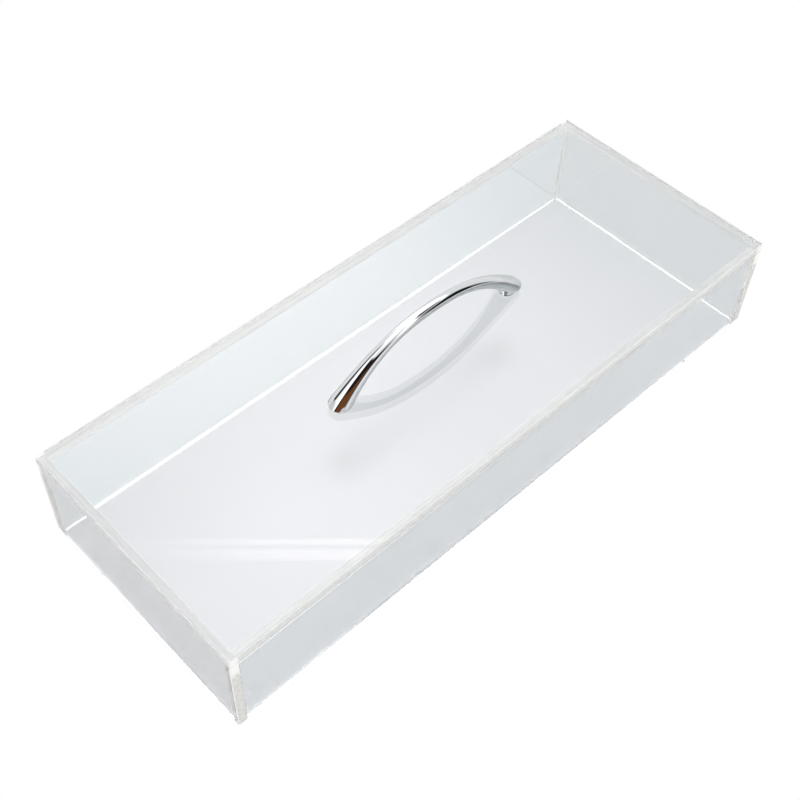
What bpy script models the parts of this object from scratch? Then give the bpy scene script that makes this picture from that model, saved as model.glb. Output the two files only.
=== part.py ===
"""Clear display cover with a bow handle.

Five sheets of clear acrylic are cemented together into a long, shallow cover, closed on top and open
underneath. The top panel lies over the four walls, and the end walls run the full depth, with the long
walls between them. A chromed bow handle stands on the middle of the top panel, held from inside by two
machine screws.

X runs along the length, Y from front to rear and Z up. The origin is the middle of the footprint, on the
surface that the walls stand on. Lengths are in metres.
"""
import math

import bmesh
import bpy
from mathutils import Vector

# Cover, outside, without the handle
cover_length = 0.310
cover_depth = 0.120
cover_height = 0.050

# Sheets
sheet_thickness = 0.004
cement_gap = 0.0003
arris = 0.0003

# Bow handle: its bar tapers from broad level-cut feet to a slender middle
screw_spacing = 0.096
foot_setout = 0.0015
bow_rise = 0.0208
foot_width = 0.0103
foot_thickness = 0.0076
middle_width = 0.0048
middle_thickness = 0.0047
seat_gap = 0.0003
bow_power = 2.3
taper_power = 3.8
section_power = 2.1
feet_share = 1.16

# Machine screws
screw_diameter = 0.004
thread_engagement = 0.0028
tip_chamfer = 0.0004
head_diameter = 0.0070
head_height = 0.0026
head_edge_height = 0.0010
recess_width = 0.0038
recess_thickness = 0.0010
recess_depth = 0.0014
fit_clearance = 0.0003
hole_end_clearance = 0.0003

# Working values
cut_overrun = 0.001
merge_distance = 0.000001
bar_stations = 73
bar_sides = 28
turned_steps = 32
dome_points = 6
smoothing_angle = math.radians(35)

wall_height = cover_height - sheet_thickness - cement_gap
long_wall_length = cover_length - 2 * (sheet_thickness + cement_gap)
panel_underside = cover_height - sheet_thickness
bow_reach = screw_spacing / 2 + foot_setout
screw_length = seat_gap + sheet_thickness + seat_gap + thread_engagement
screw_hole_radius = screw_diameter / 2 + fit_clearance
screw_places = {"left": -screw_spacing / 2, "right": screw_spacing / 2}


def clear_the_scene():
    for thing in list(bpy.data.objects):
        bpy.data.objects.remove(thing)


def clear_acrylic(name):
    """Water-clear cast sheet with polished faces."""
    material = bpy.data.materials.new(name)
    material.use_nodes = True
    shader = material.node_tree.nodes["Principled BSDF"]
    shader.inputs["Base Color"].default_value = (0.90, 0.93, 0.94, 1.0)
    shader.inputs["Roughness"].default_value = 0.03
    shader.inputs["Metallic"].default_value = 0.0
    shader.inputs["IOR"].default_value = 1.49
    shader.inputs["Transmission Weight"].default_value = 1.0
    return material


def plated_metal(name, colour, roughness):
    """Bright plating over cast or turned metal."""
    material = bpy.data.materials.new(name)
    material.use_nodes = True
    shader = material.node_tree.nodes["Principled BSDF"]
    shader.inputs["Base Color"].default_value = (*colour, 1.0)
    shader.inputs["Roughness"].default_value = roughness
    shader.inputs["Metallic"].default_value = 1.0
    return material


def new_object(name, form, material, location, parent):
    """Turns a bmesh into a smooth-shaded object under the cover's empty."""
    bmesh.ops.recalc_face_normals(form, faces=form.faces)
    mesh = bpy.data.meshes.new(name)
    form.to_mesh(mesh)
    form.free()
    mesh.shade_smooth()
    mesh.set_sharp_from_angle(angle=smoothing_angle)
    mesh.materials.append(material)
    thing = bpy.data.objects.new(name, mesh)
    bpy.context.scene.collection.objects.link(thing)
    thing.parent = parent
    thing.location = location
    return thing


def new_cutter(name, form, parent):
    """A shape that only cuts: it is drawn as wire and never rendered."""
    mesh = bpy.data.meshes.new(name)
    bmesh.ops.recalc_face_normals(form, faces=form.faces)
    form.to_mesh(mesh)
    form.free()
    cutter = bpy.data.objects.new(name, mesh)
    bpy.context.scene.collection.objects.link(cutter)
    cutter.parent = parent
    cutter.hide_render = True
    cutter.display_type = "WIRE"
    return cutter


def cut_away(thing, cutter):
    cut = thing.modifiers.new(cutter.name, "BOOLEAN")
    cut.operation = "DIFFERENCE"
    cut.object = cutter


def block(size):
    """A block of the given size, centred on its own origin."""
    form = bmesh.new()
    bmesh.ops.create_cube(form, size=1.0)
    bmesh.ops.scale(form, vec=size, verts=form.verts)
    return form


def break_edges(form, is_exposed):
    """Takes the sharp arris off the edges whose middle point is exposed."""
    exposed = [edge for edge in form.edges if is_exposed((edge.verts[0].co + edge.verts[1].co) / 2)]
    bmesh.ops.bevel(form, geom=exposed, offset=arris, segments=1, affect="EDGES")


def cylinder(radius, bottom, top, x):
    """An upright cylinder between two heights."""
    form = bmesh.new()
    bmesh.ops.create_cone(
        form, cap_ends=True, segments=turned_steps, radius1=radius, radius2=radius, depth=top - bottom
    )
    bmesh.ops.translate(form, vec=(x, 0, (top + bottom) / 2), verts=form.verts)
    return form


def make_top_panel(parent):
    """The largest sheet: it covers the top edges of all four walls and carries the handle."""
    form = block((cover_length, cover_depth, sheet_thickness))
    break_edges(form, lambda middle: middle.z >= 0)
    panel = new_object(
        "top_panel",
        form,
        clear_acrylic("top_panel_acrylic"),
        (0, 0, cover_height - sheet_thickness / 2),
        parent,
    )
    for side, x in screw_places.items():
        hole = cylinder(screw_hole_radius, panel_underside - cut_overrun, cover_height + cut_overrun, x)
        cut_away(panel, new_cutter("cutter_panel_hole_" + side, hole, parent))


def make_long_wall(name, direction, parent):
    """A front or rear wall, held between the two end walls."""
    form = block((long_wall_length, sheet_thickness, wall_height))
    break_edges(form, lambda middle: middle.z < 0 and middle.x == 0)
    y = direction * (cover_depth - sheet_thickness) / 2
    new_object(name, form, clear_acrylic(name + "_acrylic"), (0, y, wall_height / 2), parent)


def make_end_wall(name, direction, parent):
    """A short wall over the full depth, whose sawn ends show at the corners of the cover."""
    form = block((sheet_thickness, cover_depth, wall_height))

    def is_exposed(middle):
        bottom_edge = middle.z < 0
        outer_corner = middle.z == 0 and middle.x * direction > 0
        return bottom_edge or outer_corner

    break_edges(form, is_exposed)
    x = direction * (cover_length - sheet_thickness) / 2
    new_object(name, form, clear_acrylic(name + "_acrylic"), (x, 0, wall_height / 2), parent)


def centre_line(x):
    """Height of the bar's centre line above the level cut of its feet."""
    return bow_rise * (1 - (abs(x) / bow_reach) ** bow_power)


def centre_line_slope(x):
    steepness = bow_rise * bow_power / bow_reach * (abs(x) / bow_reach) ** (bow_power - 1)
    return -math.copysign(steepness, x)


def bar_section(x, angle):
    """Offset from the centre line to the bar's surface, square to the line: sideways and outwards."""
    share = min(abs(x) / bow_reach, 1.0) ** taper_power
    half_width = (middle_width + (foot_width - middle_width) * share) / 2
    half_thickness = (middle_thickness + (foot_thickness - middle_thickness) * share) / 2
    across = math.copysign(abs(math.cos(angle)) ** (2 / section_power), math.cos(angle))
    outward = math.copysign(abs(math.sin(angle)) ** (2 / section_power), math.sin(angle))
    return half_width * across, half_thickness * outward


def make_handle(parent):
    """A cast bow of oval section, widening towards its ends, which are cut level to stand on the panel."""
    form = bmesh.new()
    rings = []
    for station in range(bar_stations):
        turn = math.pi * (station / (bar_stations - 1) - 0.5)
        x = feet_share * bow_reach * math.sin(turn)
        slope = math.atan(centre_line_slope(x))
        ring = []
        for side in range(bar_sides):
            across, outward = bar_section(x, 2 * math.pi * side / bar_sides)
            point = (x - outward * math.sin(slope), across, centre_line(x) + outward * math.cos(slope))
            ring.append(form.verts.new(point))
        rings.append(ring)
    for ring, following in zip(rings, rings[1:]):
        for side in range(bar_sides):
            after = (side + 1) % bar_sides
            form.faces.new((ring[side], ring[after], following[after], following[side]))
    form.faces.new(rings[0])
    form.faces.new(rings[-1])
    bmesh.ops.bisect_plane(
        form,
        geom=form.verts[:] + form.edges[:] + form.faces[:],
        plane_co=(0, 0, 0),
        plane_no=(0, 0, 1),
        clear_inner=True,
        dist=merge_distance,
    )
    bmesh.ops.holes_fill(form, edges=form.edges)
    foot_height = cover_height + seat_gap
    chrome = plated_metal("bow_handle_chrome", (0.80, 0.81, 0.82), 0.05)
    handle = new_object("bow_handle", form, chrome, (0, 0, foot_height), parent)
    hole_top = foot_height + thread_engagement + hole_end_clearance
    for side, x in screw_places.items():
        hole = cylinder(screw_hole_radius, cover_height - cut_overrun, hole_top, x)
        cut_away(handle, new_cutter("cutter_handle_hole_" + side, hole, parent))


def screw_outline():
    """Half outline of a pan-head screw, as radius and height: from the middle of its head to its tip."""
    head_radius = head_diameter / 2
    dome_height = head_height - head_edge_height
    outline = []
    for point in range(dome_points):
        angle = math.pi / 2 * point / (dome_points - 1)
        outline.append((head_radius * math.sin(angle), -head_edge_height - dome_height * math.cos(angle)))
    outline.append((head_radius, 0))
    outline.append((screw_diameter / 2, 0))
    outline.append((screw_diameter / 2, screw_length - tip_chamfer))
    outline.append((screw_diameter / 2 - tip_chamfer, screw_length))
    outline.append((0, screw_length))
    return outline


def make_screw(name, x, parent):
    """A machine screw that comes up through the panel, with its bearing face at its own origin."""
    form = bmesh.new()
    chain = [form.verts.new((radius, 0, height)) for radius, height in screw_outline()]
    links = [form.edges.new(pair) for pair in zip(chain, chain[1:])]
    bmesh.ops.spin(
        form,
        geom=chain + links,
        axis=(0, 0, 1),
        cent=(0, 0, 0),
        steps=turned_steps,
        angle=2 * math.pi,
    )
    bmesh.ops.remove_doubles(form, verts=form.verts, dist=merge_distance)
    location = Vector((x, 0, panel_underside - seat_gap))
    screw = new_object(name, form, plated_metal(name + "_zinc", (0.72, 0.73, 0.74), 0.18), location, parent)
    blade_sizes = {"along": (recess_width, recess_thickness), "across": (recess_thickness, recess_width)}
    for turned, (length, depth) in blade_sizes.items():
        blade = block((length, depth, recess_depth + cut_overrun))
        rise = -head_height + (recess_depth - cut_overrun) / 2
        bmesh.ops.translate(blade, vec=location + Vector((0, 0, rise)), verts=blade.verts)
        cut_away(screw, new_cutter("cutter_" + name + "_recess_" + turned, blade, parent))


def build_cover():
    clear_the_scene()
    cover = bpy.data.objects.new("display_cover", None)
    bpy.context.scene.collection.objects.link(cover)
    make_top_panel(cover)
    make_long_wall("front_wall", -1, cover)
    make_long_wall("rear_wall", 1, cover)
    make_end_wall("left_end_wall", -1, cover)
    make_end_wall("right_end_wall", 1, cover)
    make_handle(cover)
    for side, x in screw_places.items():
        make_screw(side + "_handle_screw", x, cover)


build_cover()
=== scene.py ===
"""Clear acrylic display cover with a chromed bow handle, standing on a pale studio floor.

Lengths are in metres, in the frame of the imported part: X along the cover, Y from front to rear, Z up.
"""
import math

import bmesh
import bpy
from mathutils import Matrix, Vector


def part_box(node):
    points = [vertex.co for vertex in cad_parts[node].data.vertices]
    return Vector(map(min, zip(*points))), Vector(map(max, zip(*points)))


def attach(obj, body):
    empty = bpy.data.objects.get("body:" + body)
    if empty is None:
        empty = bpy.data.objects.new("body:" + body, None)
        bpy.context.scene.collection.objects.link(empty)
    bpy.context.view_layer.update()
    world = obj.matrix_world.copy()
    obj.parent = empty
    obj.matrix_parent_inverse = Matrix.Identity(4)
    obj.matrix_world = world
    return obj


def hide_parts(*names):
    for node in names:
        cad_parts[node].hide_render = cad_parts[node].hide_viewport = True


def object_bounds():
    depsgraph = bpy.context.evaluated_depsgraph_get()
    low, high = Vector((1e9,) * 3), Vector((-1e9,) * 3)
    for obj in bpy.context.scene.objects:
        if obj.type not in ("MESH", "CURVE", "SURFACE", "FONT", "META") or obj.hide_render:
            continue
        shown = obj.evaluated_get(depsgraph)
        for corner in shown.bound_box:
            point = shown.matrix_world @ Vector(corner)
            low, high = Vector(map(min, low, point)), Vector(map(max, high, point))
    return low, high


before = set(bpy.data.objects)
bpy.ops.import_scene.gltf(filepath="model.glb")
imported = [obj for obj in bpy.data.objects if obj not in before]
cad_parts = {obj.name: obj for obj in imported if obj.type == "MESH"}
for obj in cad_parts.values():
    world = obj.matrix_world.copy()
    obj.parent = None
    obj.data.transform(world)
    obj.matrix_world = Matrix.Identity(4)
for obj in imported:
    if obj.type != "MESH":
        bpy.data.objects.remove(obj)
cad_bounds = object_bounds()


# Camera
# A normal lens looks down on the cover from beyond its front left corner, so that the top panel, the
# two near walls and the whole bow are in view. It is turned a little about its own line of sight.
camera_place = Vector((-0.25523, -0.23732, 0.43963))
camera_aim = Vector((-0.0308, -0.0149, 0.0500))
camera_roll = math.radians(2.32)
camera_focal_length_mm = 55.7
nearest_seen = 0.01

line_of_sight = (camera_aim - camera_place).normalized()
level_right = line_of_sight.cross(Vector((0, 0, 1))).normalized()
level_up = level_right.cross(line_of_sight)
camera_right = level_right * math.cos(camera_roll) + level_up * math.sin(camera_roll)
camera_up = camera_right.cross(line_of_sight)
camera_turn = Matrix((camera_right, camera_up, -line_of_sight)).transposed()

camera_lens = bpy.data.cameras.new("studio_camera")
camera_lens.lens = camera_focal_length_mm
camera_lens.clip_start = nearest_seen
camera = bpy.data.objects.new("studio_camera", camera_lens)
camera.matrix_world = Matrix.Translation(camera_place) @ camera_turn.to_4x4()
bpy.context.scene.collection.objects.link(camera)
bpy.context.scene.camera = camera
bpy.context.scene.view_settings.view_transform = "Standard"


# Studio floor and light
# A matt pale floor under a white room, with a large soft lamp beyond the rear right corner, two thin tubes
# close to it and a small lamp overhead. The side behind the camera is open and dark, which gives the chrome
# its dark bands. The camera itself sees floor and room as plain white.
class Field:
    """A socket that takes part in Python expressions, each of which adds its Math node."""

    def __init__(self, bench, socket):
        self.bench = bench
        self.socket = socket

    def __add__(self, other):
        return self.bench.maths("ADD", self, other)

    def __radd__(self, other):
        return self.bench.maths("ADD", other, self)

    def __sub__(self, other):
        return self.bench.maths("SUBTRACT", self, other)

    def __rsub__(self, other):
        return self.bench.maths("SUBTRACT", other, self)

    def __mul__(self, other):
        return self.bench.maths("MULTIPLY", self, other)

    def __rmul__(self, other):
        return self.bench.maths("MULTIPLY", other, self)

    def __truediv__(self, other):
        return self.bench.maths("DIVIDE", self, other)

    def __rtruediv__(self, other):
        return self.bench.maths("DIVIDE", other, self)

    def __pow__(self, other):
        return self.bench.maths("POWER", self, other)

    def __neg__(self):
        return self.bench.maths("MULTIPLY", self, -1.0)


class Bench:
    """A node tree under construction."""

    def __init__(self, tree):
        self.tree = tree

    def node(self, kind, settings=None, inputs=None):
        """Adds a node, sets its settings, then fills its sockets with values or links."""
        made = self.tree.nodes.new(kind)
        for name, value in (settings or {}).items():
            setattr(made, name, value)
        for name, value in (inputs or {}).items():
            for part in value if isinstance(value, list) else [value]:
                if isinstance(part, Field):
                    self.tree.links.new(part.socket, made.inputs[name])
                else:
                    made.inputs[name].default_value = part
        return made

    def field(self, kind, output=0, settings=None, inputs=None):
        return Field(self, self.node(kind, settings, inputs).outputs[output])

    def maths(self, operation, *values):
        return self.field("ShaderNodeMath", 0, {"operation": operation}, dict(enumerate(values)))

    def vectors(self, operation, *values):
        return self.field("ShaderNodeVectorMath", 0, {"operation": operation}, dict(enumerate(values)))

    def scaled(self, vector, factor):
        return self.field("ShaderNodeVectorMath", 0, {"operation": "SCALE"}, {0: vector, "Scale": factor})

    def axes(self, vector):
        parts = self.node("ShaderNodeSeparateXYZ", inputs={0: vector})
        return [Field(self, parts.outputs[axis]) for axis in "XYZ"]

    def rise(self, value, start, end, low=0.0, high=1.0):
        """Goes smoothly from low to high while value goes from start to end."""
        return self.field(
            "ShaderNodeMapRange",
            0,
            {"interpolation_type": "SMOOTHSTEP"},
            {"Value": value, "From Min": start, "From Max": end, "To Min": low, "To Max": high},
        )

    def band(self, value, start, end, softness):
        """1 between start and end and 0 outside them, with soft sides."""
        opening = self.rise(value, start - softness, start + softness)
        closing = self.rise(value, end - softness, end + softness, 1.0, 0.0)
        return opening * closing

    def blend(self, share, first, second):
        """A colour that goes from first to second as share goes from 0 to 1."""
        made = self.node("ShaderNodeMix", {"data_type": "RGBA", "blend_type": "MIX"})
        for index, value in ((0, share), (6, first), (7, second)):
            if isinstance(value, Field):
                self.tree.links.new(value.socket, made.inputs[index])
            else:
                made.inputs[index].default_value = value
        return Field(self, made.outputs[2])

    def mixed(self, share, first, second):
        """A shader that goes from first to second as share goes from 0 to 1."""
        return self.field("ShaderNodeMixShader", inputs={0: share, 1: first, 2: second})


def new_material(name):
    material = bpy.data.materials.new(name)
    material.use_nodes = True
    material.node_tree.nodes.clear()
    return material, Bench(material.node_tree)


white_strength = 1.0
room = bpy.data.worlds.new("white_room")
room.use_nodes = True
room.node_tree.nodes.clear()
bpy.context.scene.world = room
bench = Bench(room.node_tree)
paths = bench.node("ShaderNodeLightPath")
seen_directly = Field(bench, paths.outputs["Is Camera Ray"])
in_gloss = Field(bench, paths.outputs["Is Glossy Ray"])
direction = bench.field("ShaderNodeTexCoord", "Generated")
to_right, to_rear, upward = bench.axes(direction)
bearing = bench.maths("ARCTAN2", to_rear, to_right) * math.degrees(1.0)
elevation = bench.maths("ARCSINE", upward) * math.degrees(1.0)

# Bearings are in degrees from right to rear and elevations in degrees above level. A span or height is its
# start, its end and the softness of its sides. An edge is where something begins and where it is complete.
wall_level = 0.88
rear_wall_gain = 0.22
rear_wall_span = (-30, 126, 8)
left_screen_gain = 0.70
left_screen_span = (140, 172, 5)
left_screen_height = (26, 60, 4)
front_screen_gain = 0.45
front_screen_span = (-98, -64, 5)
front_screen_edge = (30, 22)
walls = wall_level + rear_wall_gain * bench.band(bearing, *rear_wall_span)
left_screen = left_screen_gain * bench.band(bearing, *left_screen_span)
walls = walls + left_screen * bench.band(elevation, *left_screen_height)
front_screen = front_screen_gain * bench.band(bearing, *front_screen_span)
walls = walls + front_screen * bench.rise(elevation, *front_screen_edge)

corner_shade_depth = 0.85
corner_shade_span = (-66, -22, 6)
corner_shade_edge = (50, 30)
ceiling_gain = 0.58
ceiling_edge = (60, 67)
corner_shade = bench.band(bearing, *corner_shade_span) * bench.rise(elevation, *corner_shade_edge)
ceiling = bench.rise(elevation, *ceiling_edge)
level = walls * (1 - corner_shade_depth * corner_shade) + ceiling_gain * ceiling

# The lamps are laid out on a ceiling one metre up, where lamp_x and lamp_y say how far each direction gets.
least_steepness = 0.05
steepness = bench.maths("MAXIMUM", upward, least_steepness)
lamp_x = to_right / steepness
lamp_y = to_rear / steepness
soft_lamp_gain = 1.75
soft_lamp_right_edge = (1.02, 0.56)
soft_lamp_left_edge = (0.05, 0.50)
soft_lamp_lower_edge = (0.3, 0.5)
lamp_core_gain = 0.82
lamp_core_right_edge = (0.62, 0.36)
lamp_core_depth = (0.34, 0.59, 0.08)
soft_lamp = bench.rise(lamp_x, *soft_lamp_right_edge) * bench.rise(lamp_x, *soft_lamp_left_edge)
soft_lamp = soft_lamp * bench.rise(upward, *soft_lamp_lower_edge)
lamp_core = lamp_core_gain * bench.rise(lamp_x, *lamp_core_right_edge)
lamp = soft_lamp_gain * soft_lamp + lamp_core * bench.band(lamp_y, *lamp_core_depth)

tube_slant = 0.913
far_tube = (0.8575, 0.8665, 0.002)
near_tube = (0.834, 0.8505, 0.003)
tube_fade = (0.25, 0.42, 0.15, 1.1)
tube_end = (0.60, 0.50)
tube_shade_depth = 0.12
tube_shade_edge = (0.850, 0.836)
tube_shade_start = (0.10, 0.28)
tube_line = lamp_y + tube_slant * lamp_x
tubes = bench.band(tube_line, *far_tube) + bench.band(tube_line, *near_tube)
tubes = tubes * bench.rise(lamp_x, *tube_fade) * bench.rise(lamp_x, *tube_end)
tube_shade = tube_shade_depth * bench.rise(tube_line, *tube_shade_edge)
lamp = lamp + tubes - tube_shade * bench.rise(lamp_x, *tube_shade_start)

# The overhead lamp draws the soft shadows of the handle's feet. In gloss it is held back, or the panel would
# mirror a burnt-out patch when it is seen from above.
overhead_x = -0.05
overhead_y = -0.06
overhead_squared_edge = (0.048, 0.016)
overhead_level = 14.0
overhead_level_in_gloss = 1.5
above_x = lamp_x - overhead_x
above_y = lamp_y - overhead_y
overhead = bench.rise(above_x * above_x + above_y * above_y, *overhead_squared_edge)
lamp = lamp + overhead * (overhead_level - (overhead_level - overhead_level_in_gloss) * in_gloss)

# Two dark gaps in the light: an upright one between the rear wall and the left screen, and a high arc at the
# front right.
gap_depth = 0.97
rear_gap_slant = 0.22
rear_gap_span = (125, 142, 2)
rear_gap_height = (20, 66, 3)
front_gap_slant = 0.32
front_gap_height = (58, 77, 2)
front_gap_span = (-62, -2, 4)
front_gap_fade = (-40, -12, 1.0, 0.6)
rear_gap = bench.band(bearing + rear_gap_slant * elevation, *rear_gap_span)
rear_gap = rear_gap * bench.band(elevation, *rear_gap_height)
front_gap = bench.band(elevation - front_gap_slant * bearing, *front_gap_height)
front_gap = front_gap * bench.band(bearing, *front_gap_span) * bench.rise(bearing, *front_gap_fade)
lit_share = 1 - gap_depth * bench.maths("MAXIMUM", rear_gap, front_gap)

# The open side behind the camera, brown low down and black above and at both ends.
dark_side_brown = (0.21, 0.080, 0.028, 1)
dark_side_black = (0.012, 0.012, 0.015, 1)
dark_side_half_width = 85
dark_side_height = 65
dark_side_height_drop = 25
dark_side_right_edge = (-80, -90)
dark_side_rear_edge = (168, 173)
dark_side_lower_edge = (18, 22)
dark_side_upper_edge = (3, 0)
black_upper_edge = (43, 47)
black_right_edge = (-116, -108)
black_rear_edge = (160, 170)
from_back = (180 - bench.maths("ABSOLUTE", bearing)) / dark_side_half_width
dark_top = dark_side_height - dark_side_height_drop * from_back * from_back
dark_side = bench.maths(
    "MAXIMUM", bench.rise(bearing, *dark_side_right_edge), bench.rise(bearing, *dark_side_rear_edge)
)
dark_side = dark_side * bench.rise(elevation, *dark_side_lower_edge)
dark_side = dark_side * bench.rise(elevation - dark_top, *dark_side_upper_edge)
black_share = bench.maths(
    "MAXIMUM", bench.rise(elevation, *black_upper_edge), bench.rise(bearing, *black_right_edge)
)
black_share = bench.maths("MAXIMUM", black_share, bench.rise(bearing, *black_rear_edge))
dark_tone = bench.blend(black_share, dark_side_brown, dark_side_black)

room_tint = (0.975, 0.985, 1.0)
lamp_tint = (1.07, 0.98, 1.01)
lit_colour = bench.vectors(
    "ADD", bench.scaled(room_tint, level * lit_share), bench.scaled(lamp_tint, lamp * lit_share)
)
room_colour = bench.blend(dark_side, lit_colour, dark_tone)
room_light = bench.field("ShaderNodeBackground", inputs={"Color": room_colour})
room_white = bench.field("ShaderNodeBackground", inputs={"Color": (1, 1, 1, 1), "Strength": white_strength})
bench.node("ShaderNodeOutputWorld", inputs={"Surface": bench.mixed(seen_directly, room_light, room_white)})

# A hair of air stays under the walls, so that their bottom edges mirror light inside the sheet. Gloss and
# the sheets show the floor as it is lit, with a share of white that grows away from the cover. Painted shade:
# the white share is kept low near the cover, lower still beside its left end, and low in a sector to the
# front right.
floor_reach = 3.0
floor_drop = 0.0002
floor_colour = (0.473, 0.481, 0.488, 1)
floor_roughness = 0.9
near_white_share = 0.36
left_white_share = 0.0
far_white_share = 0.95
bent_white_share = 0.05
far_edge = (0.03, 0.12)
painted_shade_sector_span = (-60, -22, 6)
left_edge_softness = 0.001
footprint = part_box("top_panel")[1]
floor_form = bmesh.new()
bmesh.ops.create_grid(floor_form, x_segments=1, y_segments=1, size=floor_reach)
bmesh.ops.translate(floor_form, vec=(0, 0, -floor_drop), verts=floor_form.verts)
floor_mesh = bpy.data.meshes.new("studio_floor")
floor_form.to_mesh(floor_mesh)
floor_form.free()
floor_paint, bench = new_material("matt_pale_floor")
paths = bench.node("ShaderNodeLightPath")
seen_directly = Field(bench, paths.outputs["Is Camera Ray"])
in_gloss = Field(bench, paths.outputs["Is Glossy Ray"])
through_sheet = Field(bench, paths.outputs["Is Transmission Ray"])
to_right, to_rear = bench.axes(bench.field("ShaderNodeTexCoord", "Object"))[:2]
outside = bench.maths(
    "MAXIMUM",
    bench.maths("ABSOLUTE", to_right) - footprint.x,
    bench.maths("ABSOLUTE", to_rear) - footprint.y,
)
bearing = bench.maths("ARCTAN2", to_rear, to_right) * math.degrees(1.0)
# Painted shade: no extra white near the cover or in the sector to the front right.
far = bench.rise(outside, *far_edge) * (1 - bench.band(bearing, *painted_shade_sector_span))
past_left_edge = to_right + footprint.x
# Painted shade: beside the left end the floor gets no white share at all.
near_share = bench.rise(
    past_left_edge, -left_edge_softness, left_edge_softness, left_white_share, near_white_share
)
mirrored_share = near_share + (far_white_share - near_share) * far
gloss_share = mirrored_share + (bent_white_share - mirrored_share) * through_sheet
white_share = seen_directly + in_gloss * gloss_share
floor_matt = bench.field(
    "ShaderNodeBsdfPrincipled",
    inputs={"Base Color": floor_colour, "Roughness": floor_roughness, "Specular IOR Level": 0.0},
)
floor_white = bench.field("ShaderNodeEmission", inputs={"Strength": white_strength})
bench.node("ShaderNodeOutputMaterial", inputs={"Surface": bench.mixed(white_share, floor_matt, floor_white)})
floor_mesh.materials.append(floor_paint)
studio_floor = bpy.data.objects.new("studio_floor", floor_mesh)
bpy.context.scene.collection.objects.link(studio_floor)


# Acrylic sheets
# Five pieces of clear cast acrylic, 4 mm thick, welded with solvent cement where they meet. Their faces
# come polished from the mould. The lower edges are scraped almost clear, and the other sawn edges stay
# frosted.
sheet_nodes = ("top_panel", "front_wall", "rear_wall", "left_end_wall", "right_end_wall")
acrylic_ior = 1.49

# Light is mirrored many times between the faces of a sheet before it leaves at an edge.
sheet_bounces = 32
bpy.context.scene.cycles.max_bounces = sheet_bounces
bpy.context.scene.cycles.glossy_bounces = sheet_bounces
bpy.context.scene.cycles.transmission_bounces = sheet_bounces
bpy.context.scene.cycles.transparent_max_bounces = sheet_bounces


def lets_light_through(bench, surface, tint):
    """Gives the surface to sight and reflections, and a plain tint to lamplight on its way through."""
    paths = bench.node("ShaderNodeLightPath")
    to_lamp = Field(bench, paths.outputs["Is Shadow Ray"])
    from_matt = Field(bench, paths.outputs["Is Diffuse Ray"])
    is_light = bench.maths("MAXIMUM", to_lamp, from_matt)
    passing = bench.field("ShaderNodeBsdfTransparent", inputs={"Color": tint})
    bench.node("ShaderNodeOutputMaterial", inputs={"Surface": bench.mixed(is_light, surface, passing)})


def noise(bench, place, scale, detail):
    return bench.field("ShaderNodeTexNoise", 0, inputs={"Vector": place, "Scale": scale, "Detail": detail})


def clear_acrylic(bench, tint, roughness):
    return bench.field(
        "ShaderNodeBsdfPrincipled",
        inputs={"Base Color": tint, "Roughness": roughness, "IOR": acrylic_ior, "Transmission Weight": 1.0},
    )


# A pattern is its scale and its detail. A contrast is the part of it that is stretched to the whole range.
face_clouds = (22.0, 2.0)
face_lamp_tint = (0.95, 0.96, 0.96, 1)


def polished_material(name, tints):
    """A face as it comes from the mould: clear and glossy, clouded very faintly between two tints."""
    material, bench = new_material(name)
    place = bench.field("ShaderNodeTexCoord", "Object")
    tint = bench.blend(noise(bench, place, *face_clouds), *tints)
    lets_light_through(bench, clear_acrylic(bench, tint, 0.0), face_lamp_tint)
    return material


edge_mottle = (420.0, 3.0)
edge_marks = (1.0, 2.0)
edge_contrast = (0.35, 0.65)
edge_lamp_tint = (0.87, 0.87, 0.86, 1)


def frosted_skin(bench, share, tints):
    """A skin that sends half of the light on and half back, and goes from one tint to the other."""
    skins = []
    for tint in tints:
        behind = bench.field("ShaderNodeBsdfTranslucent", inputs={"Color": tint})
        before = bench.field("ShaderNodeBsdfDiffuse", inputs={"Color": tint})
        skins.append(bench.mixed(0.5, behind, before))
    return bench.mixed(share, *skins)


def edge_material(name, tints, roughness, frost, mark_scale):
    """A cut edge, mottled between two tints: clear acrylic under a frosted skin, patchy along fine marks.

    frost is the least and the greatest share of the skin.
    """
    material, bench = new_material(name)
    place = bench.field("ShaderNodeTexCoord", "Object")
    mottle = bench.rise(noise(bench, place, *edge_mottle), *edge_contrast)
    stretched = bench.field("ShaderNodeMapping", 0, inputs={"Vector": place, "Scale": mark_scale})
    skin_share = bench.rise(noise(bench, stretched, *edge_marks), *edge_contrast, *frost)
    clear = clear_acrylic(bench, bench.blend(mottle, *tints), roughness)
    surface = bench.mixed(skin_share, clear, frosted_skin(bench, mottle, tints))
    lets_light_through(bench, surface, edge_lamp_tint)
    return material


frost_tints = ((0.73, 0.72, 0.65, 1), (0.87, 0.88, 0.86, 1))
frost_mottle = (600.0, 3.0)
frost_contrast = (0.3, 0.7)
saw_line_turn = (0, 0.5, 0)
saw_line_scale = (350, 350, 3000)
saw_line_contrast = (0.30, 0.50)
saw_line_levels = (0.55, 1.0)
patch_raggedness = 1.5


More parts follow.
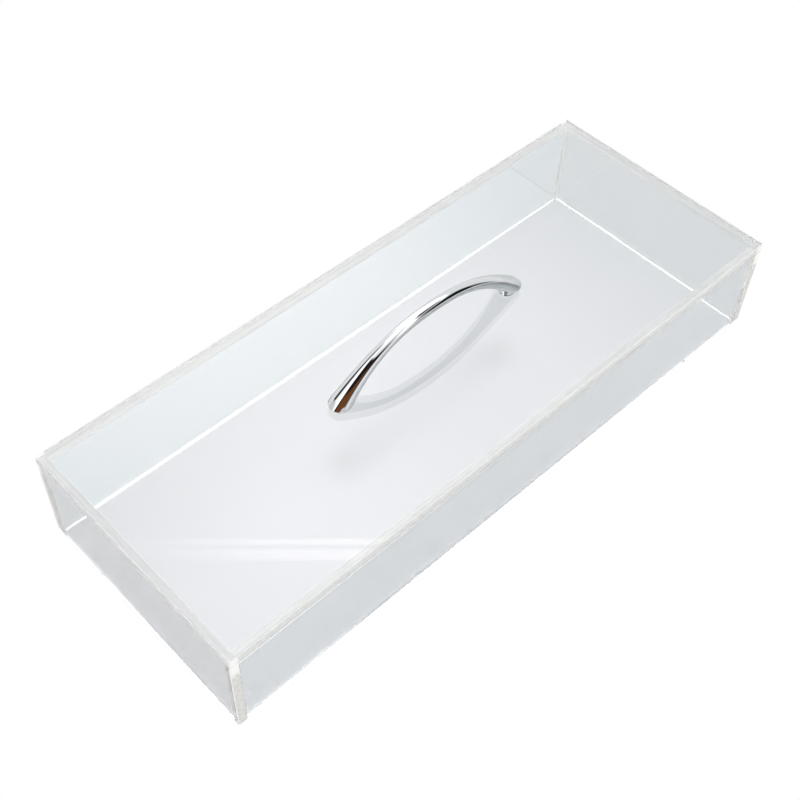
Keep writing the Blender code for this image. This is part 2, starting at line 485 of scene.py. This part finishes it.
def painted_glow_material(name, edge_colour, ground, highlight_reach):
    """A frosted edge with painted glow for light led through the sheet, crossed by fine saw lines.

    ground is the share of painted glow over the whole edge. The last argument says where it rises to a
    painted highlight: an axis, the place where the highlight begins and the place where it is full.
    """
    material, bench = new_material(name)
    place = bench.field("ShaderNodeTexCoord", "Object")
    axis, dark_end, bright_end = highlight_reach
    along = bench.axes(place)["XYZ".index(axis)]
    turned = bench.field(
        "ShaderNodeMapping", 0, inputs={"Vector": place, "Rotation": saw_line_turn, "Scale": saw_line_scale}
    )
    saw_lines = bench.rise(noise(bench, turned, *edge_marks), *saw_line_contrast, *saw_line_levels)
    mottle = noise(bench, place, *frost_mottle)
    ragged = along + (mottle - 0.5) * (bright_end - dark_end) * patch_raggedness
    # Painted highlight: the glow rises to a bright patch, broken by the saw lines.
    patch = bench.rise(ragged, dark_end, bright_end)
    patch = ground + (1 - ground) * patch * saw_lines
    skin = frosted_skin(bench, bench.rise(mottle, *frost_contrast), frost_tints)
    # Painted glow: the edge gives off light of its own.
    glow = bench.field("ShaderNodeEmission", inputs={"Color": edge_colour, "Strength": 1.0})
    lets_light_through(bench, bench.mixed(patch, skin, glow), edge_lamp_tint)
    return material


def welded_material():
    """Where two sheets are one: nothing to see."""
    material, bench = new_material("welded_joint")
    passing = bench.field("ShaderNodeBsdfTransparent", inputs={"Color": (1, 1, 1, 1)})
    bench.node("ShaderNodeOutputMaterial", inputs={"Surface": passing})
    return material


film_patches = (90.0, 2.0)
film_streaks = (1.0, 3.0)
streak_share = 0.75
milk_contrast = (0.38, 0.60)
film_contrast = (0.40, 0.60)
film_lamp_tint = (0.97, 0.97, 0.97, 1)


def film_material(name, stretch, milk_range, tints):
    """The cement film in a joint: clear, with milky streaks and patches where it dried first.

    stretch is the pattern's scale along each axis, finest across the joint. milk_range is the least and the
    greatest share of milk.
    """
    material, bench = new_material(name)
    place = bench.field("ShaderNodeTexCoord", "Object")
    patches = noise(bench, place, *film_patches)
    stretched = bench.field("ShaderNodeMapping", 0, inputs={"Vector": place, "Scale": stretch})
    streaks = noise(bench, stretched, *film_streaks)
    milk = streaks * streak_share + patches * (1 - streak_share)
    milk = bench.rise(milk, *milk_contrast, *milk_range)
    passing = bench.field("ShaderNodeBsdfTransparent", inputs={"Color": (1, 1, 1, 1)})
    skins = [bench.field("ShaderNodeBsdfDiffuse", inputs={"Color": tint}) for tint in tints]
    skin = bench.mixed(bench.rise(patches, *film_contrast), *skins)
    lets_light_through(bench, bench.mixed(milk, passing, skin), film_lamp_tint)
    return material


# The long walls are tinted a little more than the panel. The end walls are darker again, as painted shade.
panel_tints = ((0.945, 0.980, 0.985, 1), (0.957, 0.988, 0.985, 1))
long_wall_tints = ((0.918, 0.970, 0.970, 1), (0.930, 0.976, 0.970, 1))
shaded_end_wall_tints = ((0.868, 0.898, 0.895, 1), (0.880, 0.908, 0.895, 1))
edge_tints = ((0.80, 0.81, 0.77, 1), (0.96, 0.96, 0.94, 1))
rim_tints = ((0.81, 0.80, 0.78, 1), (0.875, 0.885, 0.885, 1))
arris_tints = ((0.83, 0.83, 0.81, 1), (0.89, 0.89, 0.89, 1))
long_film_tints = ((0.513, 0.531, 0.519, 1), (0.508, 0.534, 0.511, 1))
short_film_tints = ((0.478, 0.491, 0.491, 1), (0.472, 0.496, 0.484, 1))
corner_film_tints = ((0.95, 0.93, 0.86, 1), (0.97, 0.96, 0.92, 1))
# Painted glow for the edge finishes below: cream and white light given off by edges that are no lamp.
cream_painted_glow = (0.96, 0.95, 0.92, 1)
white_painted_glow = (0.95, 0.97, 1.0, 1)
# The sawn wall ends glow faintly all over, with a painted highlight near their tops.
wall_end_highlight = ("Z", 0.036, 0.041)
# A run of cement along the front wall under the joint; its white line is a painted highlight, fading to the
# right.
front_run_highlight = ("X", -0.02, -0.13)
no_patch = ("Z", 1.0, 2.0)
# Several finishes here carry painted glow: the wall ends, the cement run, the front rim and arrises, and the
# foot arrises.
finishes = {
    "panel face": polished_material("polished_panel", panel_tints),
    "scraped edge": edge_material("scraped_bottom_edge", edge_tints, 0.0, (0.03, 0.12), (300, 300, 300)),
    "panel rim": edge_material("sawn_panel_rim", rim_tints, 0.10, (0.82, 0.96), (60, 60, 500)),
    "weld": welded_material(),
    "long film": film_material("cement_film_lengthwise", (12, 1100, 12), (0.66, 0.84), long_film_tints),
    "short film": film_material("cement_film_crosswise", (1100, 12, 12), (0.66, 0.84), short_film_tints),
    "upright film": film_material("cement_film_upright", (30, 900, 60), (0.35, 0.60), corner_film_tints),
    "wall end highlight": painted_glow_material("sawn_wall_end_painted_highlight", cream_painted_glow, 0.16, wall_end_highlight),
    "arris": edge_material("broken_arris", arris_tints, 0.10, (0.85, 1.0), (300, 300, 300)),
    "cement run highlight": painted_glow_material("cement_run", white_painted_glow, 0.05, front_run_highlight),
    # Painted light: the rim and arrises that face the front glow, so they read lighter than those facing
    # away.
    "front rim glow": painted_glow_material("sawn_front_rim_painted_glow", white_painted_glow, 0.21, no_patch),
    "front arris glow": painted_glow_material("broken_front_arris_painted_glow", white_painted_glow, 0.62, no_patch),
    # Painted highlight: the inner arrises at the foot of the walls glow almost fully, as bright lines along
    # the bottoms.
    "foot arris glow": painted_glow_material("broken_foot_arris_painted_glow", cream_painted_glow, 0.85, no_patch),
    "long wall face": polished_material("polished_long_wall", long_wall_tints),
    "end wall face": polished_material("polished_end_wall", shaded_end_wall_tints),
}
finish_order = list(finishes)

# The band of the front wall where the cement run's painted highlight lies.
run_low = 0.0445
run_high = 0.0452
front_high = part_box("front_wall")[1]
inner_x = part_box("right_end_wall")[0].x
inner_y = -front_high.y
merge_distance = 0.000001
split_tolerance = 0.0000001
square_on = 0.9
slanted = 0.2


def split(form, place, normal):
    everything = form.verts[:] + form.edges[:] + form.faces[:]
    bmesh.ops.bisect_plane(form, geom=everything, plane_co=place, plane_no=normal, dist=split_tolerance)


def panel_finish(middle, normal):
    over_end_wall = abs(middle.x) > inner_x
    over_wall = over_end_wall or abs(middle.y) > inner_y
    if not over_wall or normal.z > square_on:
        return "panel face"
    if normal.z < -square_on:
        return "short film" if over_end_wall else "long film"
    # Edges that face the front get painted glow.
    if normal.z > slanted:
        return "front arris glow" if normal.y < -slanted else "arris"
    if over_end_wall and abs(normal.y) > square_on:
        return "wall end highlight"
    return "front rim glow" if normal.y < -square_on else "panel rim"


def wall_finish(name, middle, normal):
    if normal.z > square_on:
        return "weld"
    if normal.z < -slanted:
        # Inner foot arrises get the painted highlight glow.
        inner_arris = normal.z > -square_on and normal.x * middle.x + normal.y * middle.y < 0
        return "foot arris glow" if inner_arris else "scraped edge"
    if name in ("front_wall", "rear_wall"):
        # The cement run under the joint, drawn as painted highlight.
        if name == "front_wall" and normal.y < -square_on and run_low < middle.z < run_high:
            return "cement run highlight"
        return "weld" if abs(normal.x) > square_on else "long wall face"
    if abs(normal.y) > square_on:
        return "wall end highlight"
    # The corner arrises of the end walls get painted glow.
    if abs(normal.y) > slanted:
        return "front arris glow"
    facing_in = normal.x * middle.x < 0
    return "upright film" if facing_in and abs(middle.y) > inner_y else "end wall face"


for name in sheet_nodes:
    form = bmesh.new()
    form.from_mesh(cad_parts[name].data)
    bmesh.ops.remove_doubles(form, verts=form.verts, dist=merge_distance)
    for side in (-1, 1):
        split(form, (side * inner_x, 0, 0), (1, 0, 0))
        split(form, (0, side * inner_y, 0), (0, 1, 0))
    if name == "front_wall":
        split(form, (0, 0, run_low), (0, 0, 1))
        split(form, (0, 0, run_high), (0, 0, 1))
    for face in form.faces:
        middle = face.calc_center_median()
        if name == "top_panel":
            finish = panel_finish(middle, face.normal)
        else:
            finish = wall_finish(name, middle, face.normal)
        face.material_index = finish_order.index(finish)
        face.smooth = False
    mesh = bpy.data.meshes.new(name + "_sheet")
    form.to_mesh(mesh)
    form.free()
    for material in finishes.values():
        mesh.materials.append(material)
    piece = bpy.data.objects.new(name + "_sheet", mesh)
    bpy.context.scene.collection.objects.link(piece)
    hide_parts(name)
    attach(piece, "root")


# Cemented joints
# Solvent cement drawn into the joints by capillarity. It fills the gap between two sheets, stands as a thin
# bead along both sides of it, and keeps small flat air bubbles.
class Grower:
    """A Geometry Nodes tree under construction, and the plain mesh it makes."""

    def __init__(self, name, sizes):
        self.tree = bpy.data.node_groups.new(name, "GeometryNodeTree")
        self.bench = Bench(self.tree)
        self.tree.interface.new_socket("Geometry", in_out="INPUT", socket_type="NodeSocketGeometry")
        self.sizes = sizes
        for label in sizes:
            self.tree.interface.new_socket(label, in_out="INPUT", socket_type="NodeSocketFloat")
        self.tree.interface.new_socket("Geometry", in_out="OUTPUT", socket_type="NodeSocketGeometry")
        self.given = self.tree.nodes.new("NodeGroupInput")

    def size(self, label):
        return Field(self.bench, self.given.outputs[label])

    def finish(self, shape, material):
        """Ends the tree with real geometry in one material."""
        whole = self.bench.field("GeometryNodeRealizeInstances", 0, inputs={"Geometry": shape})
        painted = self.bench.field(
            "GeometryNodeSetMaterial", 0, inputs={"Geometry": whole, "Material": material}
        )
        self.bench.node("NodeGroupOutput", inputs={"Geometry": painted})

    def grow(self, name, base=None):
        """Runs the tree on a base mesh and returns its result as a new object with a plain mesh."""
        seed = bpy.data.objects.new(name + "_seed", base or bpy.data.meshes.new(name + "_seed"))
        bpy.context.scene.collection.objects.link(seed)
        modifier = seed.modifiers.new(name, "NODES")
        modifier.node_group = self.tree
        for item in self.tree.interface.items_tree:
            if item.in_out == "INPUT" and item.name in self.sizes:
                modifier[item.identifier] = self.sizes[item.name]
        grown = seed.evaluated_get(bpy.context.evaluated_depsgraph_get())
        mesh = bpy.data.meshes.new_from_object(grown)
        bpy.data.objects.remove(seed)
        mesh.name = name
        piece = bpy.data.objects.new(name, mesh)
        bpy.context.scene.collection.objects.link(piece)
        return piece


cement = edge_material("cement_bead", arris_tints, 0.1, (0.85, 1.0), (500, 500, 500))
panel_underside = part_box("top_panel")[0].z
wall_top = front_high.z
outer_x, outer_y = cad_bounds[1][0], cad_bounds[1][1]
wall_joint_x = (front_high.x + inner_x) / 2
joint_middle_z = (panel_underside + wall_top) / 2
slit_bead_radius = 0.00014
slit_bead_inset = 0.00016
corner_bead_radius = 0.00014
corner_bead_inset = 0.00016
floor_clearance = 0.0004
bead_sizes = {"Unevenness": 0.45, "Ring Distance": 0.0012}
bead_sides = 8
waver_scale = 300.0
waver_detail = 2.0


def wire_mesh(name, paths):
    """A mesh of loose edges, one for each pair of points."""
    mesh = bpy.data.meshes.new(name)
    points = [point for path in paths for point in path]
    mesh.from_pydata(points, [(index, index + 1) for index in range(0, len(points), 2)], [])
    return mesh


def corner_walk(x, y, z):
    """The four sides of a level rectangle as pairs of points."""
    corners = [(-x, -y, z), (x, -y, z), (x, y, z), (-x, y, z)]
    return [(corners[index], corners[(index + 1) % 4]) for index in range(4)]


def grow_beads(name, radius, paths):
    """A thin wavering tube of cement along each of the paths."""
    beads = Grower(name + "_tree", {"Bead Radius": radius, **bead_sizes})
    bench = beads.bench
    lines = bench.field("GeometryNodeMeshToCurve", inputs={0: Field(bench, beads.given.outputs["Geometry"])})
    ring_distance = beads.size("Ring Distance")
    dotted = bench.field(
        "GeometryNodeResampleCurve", 0, {"mode": "LENGTH"}, {0: lines, "Length": ring_distance}
    )
    bead_radius = beads.size("Bead Radius")
    ring = bench.field(
        "GeometryNodeCurvePrimitiveCircle", 0, inputs={"Resolution": bead_sides, "Radius": bead_radius}
    )
    tube = bench.field(
        "GeometryNodeCurveToMesh", 0, inputs={"Curve": dotted, "Profile Curve": ring, "Fill Caps": True}
    )
    waver = bench.field("ShaderNodeTexNoise", 0, inputs={"Scale": waver_scale, "Detail": waver_detail})
    shrink = -(waver * beads.size("Unevenness") * bead_radius)
    inward = bench.scaled(bench.field("GeometryNodeInputNormal"), shrink)
    uneven = bench.field("GeometryNodeSetPosition", inputs={0: tube, "Offset": inward})
    beads.finish(uneven, cement)
    piece = beads.grow(name, wire_mesh(name + "_lines", paths))
    piece.data.shade_smooth()
    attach(piece, "root")


slit_x = outer_x - slit_bead_inset
slit_y = outer_y - slit_bead_inset
corner_x = inner_x - corner_bead_inset
corner_y = inner_y - corner_bead_inset
slit_lines = corner_walk(slit_x, slit_y, joint_middle_z)
corner_lines = corner_walk(corner_x, corner_y, panel_underside - corner_bead_inset)
for x_side in (-1, 1):
    for y_side in (-1, 1):
        x, y = x_side * wall_joint_x, y_side * slit_y
        slit_lines.append(((x, y, floor_clearance), (x, y, wall_top - floor_clearance)))
        x, y = x_side * corner_x, y_side * corner_y
        corner_lines.append(((x, y, floor_clearance), (x, y, panel_underside - 3 * corner_bead_inset)))
grow_beads("cement_slit_beads", slit_bead_radius, slit_lines)
grow_beads("cement_corner_beads", corner_bead_radius, corner_lines)

bubble_sizes = {
    "Bubbles Per Square Metre": 90000.0,
    "Least Radius": 0.00008,
    "Greatest Radius": 0.00036,
    "Half Height": 0.00011,
}
bubble_seed = 7
bubble_narrowness = 0.8
bubble_segments = 10
bubble_rings = 6
bubble_tint = (0.98, 0.98, 0.98, 1)
bubble_lamp_tint = (0.95, 0.95, 0.95, 1)
crowding_scale = 45.0
crowding_detail = 2.0
crowding_edge = (0.42, 0.68)
crowding_power = 2
size_power = 3
joint_inset = 0.0006


def joint_mesh():
    """The middle plane of every joint, as rectangles."""
    inset = joint_inset
    bounds = []
    z = joint_middle_z
    for y_side in (-1, 1):
        near, far = y_side * (inner_y + inset), y_side * (outer_y - inset)
        bounds.append(((-inner_x, near, z), (inner_x, near, z), (inner_x, far, z), (-inner_x, far, z)))
    for x_side in (-1, 1):
        near, far, end = x_side * (inner_x + inset), x_side * (outer_x - inset), outer_y - inset
        bounds.append(((near, -end, z), (far, -end, z), (far, end, z), (near, end, z)))
        x = x_side * wall_joint_x
        for y_side in (-1, 1):
            near, far = y_side * (inner_y + inset), y_side * (outer_y - inset)
            top = wall_top - inset
            bounds.append(((x, near, inset), (x, far, inset), (x, far, top), (x, near, top)))
    mesh = bpy.data.meshes.new("joint_planes")
    points = [point for corners in bounds for point in corners]
    mesh.from_pydata(points, [], [tuple(range(index, index + 4)) for index in range(0, len(points), 4)])
    return mesh


air, bench = new_material("air_bubble")
inside_out_glass = bench.field(
    "ShaderNodeBsdfGlass", inputs={"Color": bubble_tint, "Roughness": 0.0, "IOR": 1 / acrylic_ior}
)
lets_light_through(bench, inside_out_glass, bubble_lamp_tint)
bubbles = Grower("bubble_tree", bubble_sizes)
bench = bubbles.bench
crowding = bench.field(
    "ShaderNodeTexNoise", 0, inputs={"Scale": crowding_scale, "Detail": crowding_detail}
)
crowding = bench.rise(crowding, *crowding_edge) ** crowding_power
scattered = bench.node(
    "GeometryNodeDistributePointsOnFaces",
    {"distribute_method": "RANDOM"},
    {
        "Mesh": Field(bench, bubbles.given.outputs["Geometry"]),
        "Density": bubbles.size("Bubbles Per Square Metre") * crowding,
        "Seed": bubble_seed,
    },
)
chance = bench.field(
    "FunctionNodeRandomValue", 1, {"data_type": "FLOAT"}, {2: 0.0, 3: 1.0, "Seed": bubble_seed + 1}
)
width = bubbles.size("Least Radius")
width = width + (bubbles.size("Greatest Radius") - width) * chance ** size_power
half_height = bubbles.size("Half Height")
flat = bench.field("ShaderNodeCombineXYZ", inputs={0: width, 1: width * bubble_narrowness, 2: half_height})
ball = bench.field(
    "GeometryNodeMeshUVSphere",
    "Mesh",
    inputs={"Segments": bubble_segments, "Rings": bubble_rings, "Radius": 1.0},
)
spread = bench.field(
    "GeometryNodeInstanceOnPoints",
    inputs={
        "Points": Field(bench, scattered.outputs["Points"]),
        "Instance": ball,
        "Rotation": Field(bench, scattered.outputs["Rotation"]),
        "Scale": flat,
    },
)
bubbles.finish(spread, air)
bubble_piece = bubbles.grow("joint_bubbles", joint_mesh())
bubble_piece.data.shade_smooth()
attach(bubble_piece, "root")


# Bow handle
# A cast bar of oval section, bent to a bow and chromed. It widens towards its ends, which are cut level to
# stand on the panel, and each foot has a blind tapped hole for its screw.
plating_clouds = (160.0, 3.0)
plating_contrast = (0.3, 0.7)
buffing_marks = (900.0, 2.0)
buffing_strength = 0.05
buffing_depth = 0.00002


def plated_material(name, tints, roughness_range):
    """Bright plating over metal: buffing marks and the faintest clouds in its gloss."""
    material, bench = new_material(name)
    place = bench.field("ShaderNodeTexCoord", "Object")
    clouds = noise(bench, place, *plating_clouds)
    marks = noise(bench, place, *buffing_marks)
    bump = bench.field(
        "ShaderNodeBump", 0, inputs={"Height": marks, "Strength": buffing_strength, "Distance": buffing_depth}
    )
    surface = bench.field(
        "ShaderNodeBsdfPrincipled",
        inputs={
            "Base Color": bench.blend(clouds, *tints),
            "Metallic": 1.0,
            "Roughness": bench.rise(clouds, *plating_contrast, *roughness_range),
            "Normal": bump,
        },
    )
    bench.node("ShaderNodeOutputMaterial", inputs={"Surface": surface})
    return material


sharp_edge = math.radians(32)


def smooth_faces(piece):
    piece.data.shade_smooth()
    piece.data.set_sharp_from_angle(angle=sharp_edge)


chrome_tints = ((0.62, 0.63, 0.635, 1), (0.65, 0.66, 0.665, 1))
chrome_roughness = (0.008, 0.02)
chrome = plated_material("bright_chrome", chrome_tints, chrome_roughness)
screw_spacing = 0.096
bow_sizes = {
    "Reach": 0.0495,
    "Feet Share": 1.16,
    "Rise": 0.0208,
    "Foot Width": 0.0103,
    "Foot Thickness": 0.0076,
    "Middle Width": 0.0048,
    "Middle Thickness": 0.0047,
    "Bow Power": 2.3,
    "Taper Power": 3.8,
    "Section Power": 2.1,
    "Foot Height": 0.0503,
    "Hole Radius": 0.0023,
    "Hole Depth": 0.0031,
}
bar_sides = 96
bar_lengths = 260
hole_sides = 48
cut_size = 0.2

bow = Grower("cast_bow", bow_sizes)
bench = bow.bench
blank = bench.field(
    "GeometryNodeMeshCylinder",
    "Mesh",
    {"fill_type": "NGON"},
    {"Vertices": bar_sides, "Side Segments": bar_lengths, "Radius": 1.0, "Depth": 2.0},
)
px, py, pz = bench.axes(bench.field("GeometryNodeInputPosition"))
reach = bow.size("Reach")
x = bow.size("Feet Share") * reach * bench.maths("SINE", pz * (math.pi / 2))
side = bench.maths("SIGN", x)
out_share = bench.maths("ABSOLUTE", x) / reach
taper = bench.maths("MINIMUM", out_share, 1.0) ** bow.size("Taper Power")
middle_width = bow.size("Middle Width")
half_width = (middle_width + (bow.size("Foot Width") - middle_width) * taper) / 2
middle_thickness = bow.size("Middle Thickness")
half_thickness = (middle_thickness + (bow.size("Foot Thickness") - middle_thickness) * taper) / 2
roundness = 2 / bow.size("Section Power")
across = bench.maths("SIGN", px) * bench.maths("ABSOLUTE", px) ** roundness * half_width
outward = bench.maths("SIGN", py) * bench.maths("ABSOLUTE", py) ** roundness * half_thickness
rise = bow.size("Rise")
bow_power = bow.size("Bow Power")
foot_height = bow.size("Foot Height")
slope = -side * rise * bow_power / reach * out_share ** (bow_power - 1)
level_part = 1 / bench.maths("SQRT", 1 + slope * slope)
z = foot_height + rise * (1 - out_share ** bow_power) + outward * level_part
bent = bench.field("ShaderNodeCombineXYZ", inputs={0: x - outward * slope * level_part, 1: across, 2: z})
bar = bench.field("GeometryNodeSetPosition", inputs={0: blank, "Position": bent})
cut_place = bench.field("ShaderNodeCombineXYZ", inputs={2: foot_height - cut_size / 2})
cut = bench.field("GeometryNodeMeshCube", inputs={"Size": (cut_size, cut_size, cut_size)})
cutters = [bench.field("GeometryNodeTransform", inputs={0: cut, "Translation": cut_place})]
for x_side in (-1, 1):
    drill_length = 2 * bow.size("Hole Depth")
    drill = bench.field(
        "GeometryNodeMeshCylinder",
        "Mesh",
        inputs={"Vertices": hole_sides, "Radius": bow.size("Hole Radius"), "Depth": drill_length},
    )
    spot = bench.field("ShaderNodeCombineXYZ", inputs={0: x_side * screw_spacing / 2, 2: foot_height})
    cutters.append(bench.field("GeometryNodeTransform", inputs={0: drill, "Translation": spot}))
shaped = bench.field(
    "GeometryNodeMeshBoolean",
    0,
    {"operation": "DIFFERENCE", "solver": "EXACT"},
    {"Mesh 1": bar, "Mesh 2": cutters},
)
bow.finish(shaped, chrome)
bow_bar = bow.grow("bow_handle_bar")
smooth_faces(bow_bar)
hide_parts("bow_handle")
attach(bow_bar, "root")


# Handle screws
# Two M4 pan-head machine screws of bright zinc-plated steel. They come up through the panel from inside
# the cover into the feet of the handle, and their cross-recessed heads bear on the panel's underside.
zinc_tints = ((0.90, 0.905, 0.91, 1), (0.95, 0.95, 0.945, 1))
zinc_roughness = (0.02, 0.06)
zinc = plated_material("bright_zinc", zinc_tints, zinc_roughness)
screw_low, screw_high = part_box("right_handle_screw")
head_height = 0.0026
screw_sizes = {
    "Bearing Height": screw_low.z + head_height,
    "Head Radius": (screw_high.x - screw_low.x) / 2,
    "Head Height": head_height,
    "Shank Radius": 0.0020,
    "Shank Length": screw_high.z - screw_low.z - head_height,
    "Thread Depth": 0.00038,
    "Thread Pitch": 0.0007,
    "Thread Start": 0.0005,
    "Full Thread": 0.0008,
    "Tip Length": 0.0004,
    "Recess Width": 0.0038,
    "Recess Thickness": 0.0010,
    "Recess Depth": 0.0014,
}
shank_sides = 40
shank_lengths = 110
head_sides = 64
head_lengths = 24
dome_power = 2.6
dome_closure = 0.9999

for side_name, x_side in (("left", -1), ("right", 1)):
    screw = Grower(side_name + "_machine_screw", screw_sizes)
    bench = screw.bench
    stand_x = x_side * screw_spacing / 2
    px, py, pz = bench.axes(bench.field("GeometryNodeInputPosition"))
    turn = bench.maths("ARCTAN2", py, px) / (2 * math.pi)
    bearing_height = screw.size("Bearing Height")

    rod = bench.field(
        "GeometryNodeMeshCylinder",
        "Mesh",
        {"fill_type": "NGON"},
        {"Vertices": shank_sides, "Side Segments": shank_lengths, "Radius": 1.0, "Depth": 2.0},
    )
    length = screw.size("Shank Length")
    from_head = (pz + 1) * length / 2
    phase = bench.maths("FRACT", from_head / screw.size("Thread Pitch") - turn + 1)
    threaded_share = bench.rise(from_head, screw.size("Thread Start"), screw.size("Full Thread"))
    groove = bench.maths("ABSOLUTE", 2 * phase - 1) * threaded_share
    shank_radius = screw.size("Shank Radius")
    tip_length = screw.size("Tip Length")
    tip = bench.maths("MINIMUM", (length - from_head) / tip_length, 1.0)
    radius = shank_radius - screw.size("Thread Depth") * groove
    radius = bench.maths("MINIMUM", radius, shank_radius - tip_length * (1 - tip))
    threaded = bench.field(
        "ShaderNodeCombineXYZ",
        inputs={0: px * radius + stand_x, 1: py * radius, 2: bearing_height + from_head},
    )
    shank = bench.field("GeometryNodeSetPosition", inputs={0: rod, "Position": threaded})

    disc = bench.field(
        "GeometryNodeMeshCylinder",
        "Mesh",
        {"fill_type": "NGON"},
        {"Vertices": head_sides, "Side Segments": head_lengths, "Radius": 1.0, "Depth": 2.0},
    )
    drop = (1 - pz) / 2
    dome = (1 - drop ** dome_power * dome_closure) ** (1 / dome_power)
    head_radius = screw.size("Head Radius") * dome
    head_foot = bearing_height - drop * screw.size("Head Height")
    domed = bench.field(
        "ShaderNodeCombineXYZ", inputs={0: px * head_radius + stand_x, 1: py * head_radius, 2: head_foot}
    )
    head = bench.field("GeometryNodeSetPosition", inputs={0: disc, "Position": domed})
    solid = bench.field(
        "GeometryNodeMeshBoolean", 0, {"operation": "UNION", "solver": "EXACT"}, {"Mesh 2": [head, shank]}
    )
    blades = []
    for along_x, along_y in (("Recess Width", "Recess Thickness"), ("Recess Thickness", "Recess Width")):
        extent = bench.field(
            "ShaderNodeCombineXYZ",
            inputs={0: screw.size(along_x), 1: screw.size(along_y), 2: 2 * screw.size("Recess Depth")},
        )
        spot = bench.field(
            "ShaderNodeCombineXYZ", inputs={0: stand_x, 2: bearing_height - screw.size("Head Height")}
        )
        blade = bench.field("GeometryNodeMeshCube", inputs={"Size": extent})
        blades.append(bench.field("GeometryNodeTransform", inputs={0: blade, "Translation": spot}))
    shaped = bench.field(
        "GeometryNodeMeshBoolean",
        0,
        {"operation": "DIFFERENCE", "solver": "EXACT"},
        {"Mesh 1": solid, "Mesh 2": blades},
    )
    screw.finish(shaped, zinc)
    piece = screw.grow(side_name + "_machine_screw")
    smooth_faces(piece)
    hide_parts(side_name + "_handle_screw")
    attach(piece, "root")
